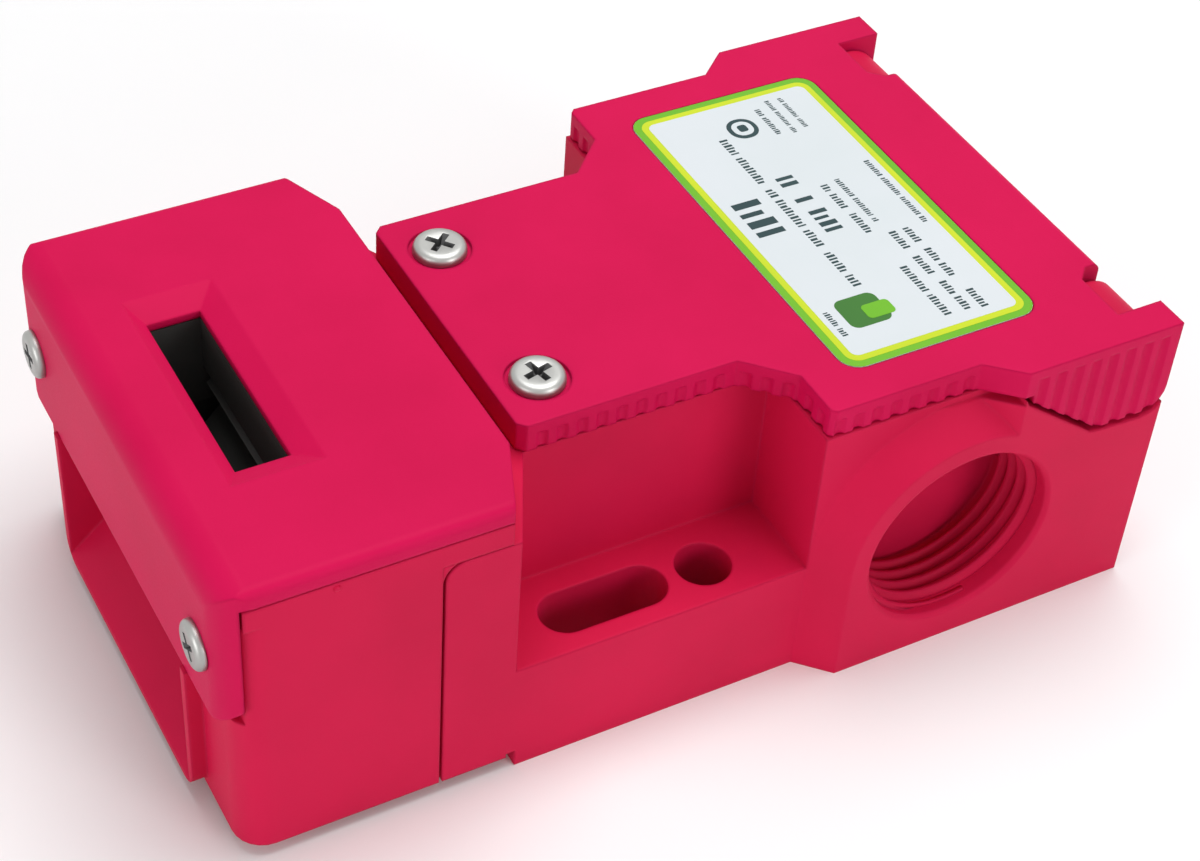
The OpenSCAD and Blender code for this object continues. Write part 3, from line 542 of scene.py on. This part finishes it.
def makeThread():
    bpy.ops.object.select_all(action="DESELECT")
    bpy.ops.mesh.primitive_plane_add(size=1)
    ridge = bpy.context.active_object
    pitch = thread["pitch"]
    corners = [(thread["wallRadius"], thread["foot"][0]), (thread["wallRadius"], thread["foot"][1]),
               (thread["crestRadius"], thread["crest"][1]), (thread["crestRadius"], thread["crest"][0])]
    around = sorted(ridge.data.vertices, key=lambda v: math.atan2(v.co.y, v.co.x))
    for v, (radius, share) in zip(around, corners):
        v.co = Vector((radius, 0, share * pitch)) * mm
    editAll(ridge)
    bpy.ops.mesh.delete(type="ONLY_FACE")
    leaveEdit()
    turn = ridge.modifiers.new("turn", "SCREW")
    turn.axis = "Z"
    turn.iterations = 1
    turn.angle = math.radians(360) * thread["turns"]
    turn.screw_offset = pitch * mm * thread["turns"]
    turn.steps = int(thread["stepsPerTurn"] * thread["turns"])
    turn.render_steps = turn.steps
    applyModifiers(ridge)
    editAll(ridge)
    bpy.ops.mesh.remove_doubles(threshold=thread["mergeGap"] * mm)
    bpy.ops.mesh.select_all(action="DESELECT")
    bpy.ops.mesh.select_non_manifold(extend=False, use_boundary=True)
    bpy.ops.mesh.fill_holes(sides=4)
    bpy.ops.mesh.select_all(action="SELECT")
    bpy.ops.mesh.normals_make_consistent(inside=False)
    leaveEdit()
    # the crest falls to the wall over the last part of a turn at both ends
    middle = sum(thread["crest"]) / 2
    height = thread["wallRadius"] - thread["crestRadius"]
    for v in ridge.data.vertices:
        radius = math.hypot(v.co.x, v.co.y) / mm
        if radius < thread["wallRadius"] - height / 2:
            turned = v.co.z / mm / pitch - middle
            rising = min(turned, thread["turns"] - turned) / thread["runOut"]
            share = min(1, max(thread["leastHeight"], rising))
            wanted = thread["wallRadius"] - height * share
            v.co.x *= wanted / radius
            v.co.y *= wanted / radius
    smoothByAngle(ridge, smoothAngles["thread"])
    giveMaterial(ridge, crimsonBody)
    return ridge


# middle of each entry's mouth in mm, and the way out of it
entries = {
    "threadLeft": {"mouth": (73.3, -28.3, 13.4), "out": (0, -1, 0), "turn": 90, "axis": "X"},
    "threadRight": {"mouth": (73.3, 28.3, 13.4), "out": (0, 1, 0), "turn": -90, "axis": "X"},
    "threadEnd": {"mouth": (95, 0, 13.4), "out": (1, 0, 0), "turn": 90, "axis": "Y"},
}


def placeThreads():
    pattern = makeThread()
    depth = thread["start"] + thread["pitch"] * (thread["turns"] + 1)
    for name, entry in entries.items():
        foot = at(*(c - depth * way for c, way in zip(entry["mouth"], entry["out"])))
        turn = Matrix.Rotation(math.radians(entry["turn"]), 4, entry["axis"])
        piece = copyOf(pattern, name, Matrix.Translation(foot) @ turn)
        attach(piece, "body")
    bpy.data.objects.remove(pattern)


placeThreads()
print("threads cut")

# printed label, in mm: three layers of border and field, then the print
label = {"x0": 62.5, "x1": 83.9, "halfWidth": 21.0, "top": 32.5, "corner": 2.0, "cornerLoss": 0.8,
         "leastCorner": 0.6,
         "inset": 0.02, "green": 0.8, "yellow": 0.7, "sunk": 0.05, "layer": 0.02, "inkFoot": 0.02,
         "inkTop": 0.012}


def roundedPlate(name, x0, x1, y0, y1, z0, z1, corner):
    bpy.ops.object.select_all(action="DESELECT")
    bpy.ops.mesh.primitive_plane_add(size=1)
    plate = bpy.context.active_object
    plate.name = name
    for v in plate.data.vertices:
        v.co = at(x0 if v.co.x < 0 else x1, y0 if v.co.y < 0 else y1, z0)
    editAll(plate)
    if corner:
        bpy.ops.mesh.bevel(offset=corner * mm, segments=8, affect="VERTICES")
    bpy.ops.mesh.select_all(action="SELECT")
    bpy.ops.mesh.extrude_region_move(TRANSFORM_OT_translate={"value": (0, 0, (z1 - z0) * mm)})
    bpy.ops.mesh.select_all(action="SELECT")
    bpy.ops.mesh.normals_make_consistent(inside=False)
    leaveEdit()
    return plate


def joinPieces(pieces, name):
    bpy.ops.object.select_all(action="DESELECT")
    for piece in pieces:
        piece.select_set(True)
    bpy.context.view_layer.objects.active = pieces[0]
    bpy.ops.object.join()
    pieces[0].name = name
    return pieces[0]


# centre X, first Y, last Y, height of each printed row, in mm
printRows = [
    (66.6, 4.9, -3.7, 3.0), (69.9, 14.4, 6.2, 0.9), (69.9, 5.4, -4.6, 0.9), (69.9, -5.4, -11.2, 0.9),
    (72.3, 7.8, 4.8, 1.9), (72.3, 3.1, 1.9, 1.9), (72.5, 0.9, -4.9, 1.9),
    (75.3, 3.9, -0.6, 0.8), (75.4, -1.2, -4.6, 0.8), (77.0, 4.5, -3.3, 0.6),
    (81.4, 5.6, -5.6, 0.6), (75.4, -10.2, -18.2, 0.8),
    (77.4, -5.2, -8.2, 0.8), (77.4, -9.4, -12.4, 0.8), (77.6, -13.6, -18.2, 0.8),
    (79.0, -5.2, -8.0, 0.8), (79.1, -8.8, -13.6, 0.8), (79.3, -15.6, -18.6, 0.8),
    (75.8, 17.6, 12.5, 0.6), (77.5, 18.5, 12.4, 0.5), (79.0, 18.4, 12.9, 0.5), (64.9, -13.0, -17.0, 0.6),
]


# shares of a row's height or step: the step, the blocks' widths, and how far down they reach
blockShares = {"step": 0.52, "widths": (0.42, 0.6, 0.5, 0.68), "full": 0.5, "short": 0.32}


def printRow(place, z):
    # a row of small blocks with gaps, as fine print looks from a distance
    x, first, last, height = place
    step = height * blockShares["step"]
    count = int(abs(last - first) / step)
    way = math.copysign(step, last - first)
    blocks = []
    for i in range(count):
        isGap = (i * 5 + count) % 11 == 3
        if isGap:
            continue
        thick = step * blockShares["widths"][(i * 3 + count) % len(blockShares["widths"])]
        reach = height * (blockShares["full"] if (i + count) % 3 else blockShares["short"])
        y = first + way * (i + 0.5)
        blocks.append(roundedPlate("printBlock", x - height / 2, x + reach, y - thick / 2, y + thick / 2,
            z - label["inkFoot"], z + label["inkTop"], 0))
    return blocks


# first and last x, first and last y, ink, rise above the field and corner of each shape, in mm
printShapes = [
    ("labelBadge", 66.1, 70.6, -16.3, -12.1, inkLeaf, 0.0, 0.9),
    ("labelBadgeLeaf", 68.3, 71.3, -15.6, -13.6, inkGreen, 0.02, 0.5),
    ("labelSpot", 71.2, 74.4, 13.6, 16.9, inkTeal, 0.0, 1.5),
    ("labelSpotField", 71.7, 73.9, 14.1, 16.4, filmWhite, 0.02, 1.0),
    ("labelSpotMark", 72.3, 73.3, 14.7, 15.8, inkTeal, 0.04, 0.3),
]


def printLabel():
    top = label["top"]
    half = label["halfWidth"]
    levels = [("labelGreen", inkGreen, label["inset"]), ("labelYellow", inkYellow, label["green"]),
              ("labelField", filmWhite, label["green"] + label["yellow"])]
    pieces = []
    for step, (name, colour, inset) in enumerate(levels):
        corner = max(label["corner"] - inset * label["cornerLoss"], label["leastCorner"])
        plate = roundedPlate(name, label["x0"] + inset, label["x1"] - inset, inset - half, half - inset,
            top - label["sunk"], top + label["layer"] * (step + 1), corner)
        giveMaterial(plate, colour)
        pieces.append(plate)
    z = top + label["layer"] * len(levels)
    rows = joinPieces([row for place in printRows for row in printRow(place, z)], "labelRows")
    giveMaterial(rows, inkTeal)
    pieces.append(rows)
    for name, x0, x1, y0, y1, colour, rise, corner in printShapes:
        low = z - label["inkFoot"] + rise
        shape = roundedPlate(name, x0, x1, y0, y1, low, z + label["inkTop"] + rise, corner)
        giveMaterial(shape, colour)
        pieces.append(shape)
    for piece in pieces:
        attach(piece, "lid")


printLabel()
print("label printed")

# floor, lights and camera, in metres and watts
stage = {"floorSize": 6, "floorColour": (0.93, 0.93, 0.93, 1), "floorTint": (0.91, 0.91, 0.92, 1),
         "floorRoughness": 0.9, "floorSpecular": 0.1, "floorScale": 30, "floorNear": 0.25, "floorFar": 0.8,
         "worldStrength": 0.38}
lamps = {
    "keyLight": {"place": (0.1, 0.05, 0.55), "aim": (0, 0, 0.02), "size": 0.5, "energy": 2.4},
    "fillLight": {"place": (0.26, -0.64, 0.24), "aim": (0, 0, 0.01), "size": 0.3, "energy": 1.25},
    "endLight": {"place": (-0.56, -0.16, 0.14), "aim": (0, 0, 0.01), "size": 0.4, "energy": 1.1},
}


def addSeenRays(nodes, links):
    # 1 for what the camera sees straight on, in metal or through glass, and 0 for other light
    path = nodes.new("ShaderNodeLightPath")
    seen = path.outputs["Is Camera Ray"]
    for ray in ("Is Glossy Ray", "Is Transmission Ray"):
        either = nodes.new("ShaderNodeMath")
        either.operation = "MAXIMUM"
        links.new(seen, either.inputs[0])
        links.new(path.outputs[ray], either.inputs[1])
        seen = either.outputs["Value"]
    return seen


def addFloor():
    bpy.ops.object.select_all(action="DESELECT")
    bpy.ops.mesh.primitive_plane_add(size=stage["floorSize"], location=(0, 0, 0))
    floor = bpy.context.active_object
    floor.name = "floor"
    material = bpy.data.materials.new("paleFloor")
    material.use_nodes = True
    nodes, links = material.node_tree.nodes, material.node_tree.links
    shader = nodes["Principled BSDF"]
    shader.inputs["Roughness"].default_value = stage["floorRoughness"]
    shader.inputs["Specular IOR Level"].default_value = stage["floorSpecular"]
    coords = nodes.new("ShaderNodeTexCoord")
    noise = nodes.new("ShaderNodeTexNoise")
    noise.inputs["Scale"].default_value = stage["floorScale"]
    tint = mixColours(material.node_tree)
    tint.inputs[colourA].default_value = stage["floorColour"]
    tint.inputs[colourB].default_value = stage["floorTint"]
    links.new(coords.outputs["Object"], noise.inputs["Vector"])
    links.new(noise.outputs["Fac"], tint.inputs["Factor"])
    links.new(tint.outputs[colourOut], shader.inputs["Base Color"])
    # far from the object the camera sees the floor turn white, as the room behind it
    far = nodes.new("ShaderNodeVectorMath")
    far.operation = "LENGTH"
    links.new(coords.outputs["Object"], far.inputs[0])
    reach = nodes.new("ShaderNodeMapRange")
    reach.inputs["From Min"].default_value = stage["floorNear"]
    reach.inputs["From Max"].default_value = stage["floorFar"]
    links.new(far.outputs["Value"], reach.inputs["Value"])
    seen = nodes.new("ShaderNodeMath")
    seen.operation = "MULTIPLY"
    links.new(reach.outputs["Result"], seen.inputs[0])
    links.new(addSeenRays(nodes, links), seen.inputs[1])
    white = nodes.new("ShaderNodeEmission")
    shown = nodes.new("ShaderNodeMixShader")
    links.new(seen.outputs["Value"], shown.inputs["Fac"])
    links.new(shader.outputs["BSDF"], shown.inputs[1])
    links.new(white.outputs["Emission"], shown.inputs[2])
    links.new(shown.outputs["Shader"], nodes["Material Output"].inputs["Surface"])
    giveMaterial(floor, material)


def addLamp(name, values):
    data = bpy.data.lights.new(name, "AREA")
    data.shape = "DISK"
    data.size = values["size"]
    data.energy = values["energy"]
    lamp = bpy.data.objects.new(name, data)
    bpy.context.scene.collection.objects.link(lamp)
    lamp.location = values["place"]
    lookAt = Vector(values["aim"]) - Vector(values["place"])
    lamp.rotation_euler = lookAt.to_track_quat("-Z", "Y").to_euler()


def addWorld():
    # the camera sees a white room, and the object is lit by a dimmer one
    world = bpy.data.worlds.new("softRoom")
    world.use_nodes = True
    nodes, links = world.node_tree.nodes, world.node_tree.links
    nodes["Background"].inputs["Color"].default_value = (1, 1, 1, 1)
    strength = nodes.new("ShaderNodeMix")
    strength.inputs[numberA].default_value = stage["worldStrength"]
    strength.inputs[numberB].default_value = 1
    links.new(addSeenRays(nodes, links), strength.inputs[0])
    links.new(strength.outputs[numberOut], nodes["Background"].inputs["Strength"])
    bpy.context.scene.world = world


# found from the photograph's own perspective; lens and sensor in mm, clip in metres
view = {"place": at(-43.57, -153.35, 176.15), "forward": (0.38366, 0.63191, -0.67342),
        "up": (0.28099, 0.61477, 0.73695), "lens": 73.52, "sensor": 36, "clip": 0.01}


def addCamera():
    data = bpy.data.cameras.new("photoCamera")
    data.sensor_width = view["sensor"]
    data.sensor_fit = "HORIZONTAL"
    data.lens = view["lens"]
    data.clip_start = view["clip"]
    camera = bpy.data.objects.new("photoCamera", data)
    bpy.context.scene.collection.objects.link(camera)
    forward = Vector(view["forward"]).normalized()
    up = Vector(view["up"]).normalized()
    right = forward.cross(up).normalized()
    turn = Matrix((right, up, -forward)).transposed().to_4x4()
    camera.matrix_world = Matrix.Translation(view["place"]) @ turn
    bpy.context.scene.camera = camera


addFloor()
addWorld()
for name, values in lamps.items():
    addLamp(name, values)
addCamera()
bpy.context.scene.view_settings.view_transform = "Standard"
print("lights and camera set")
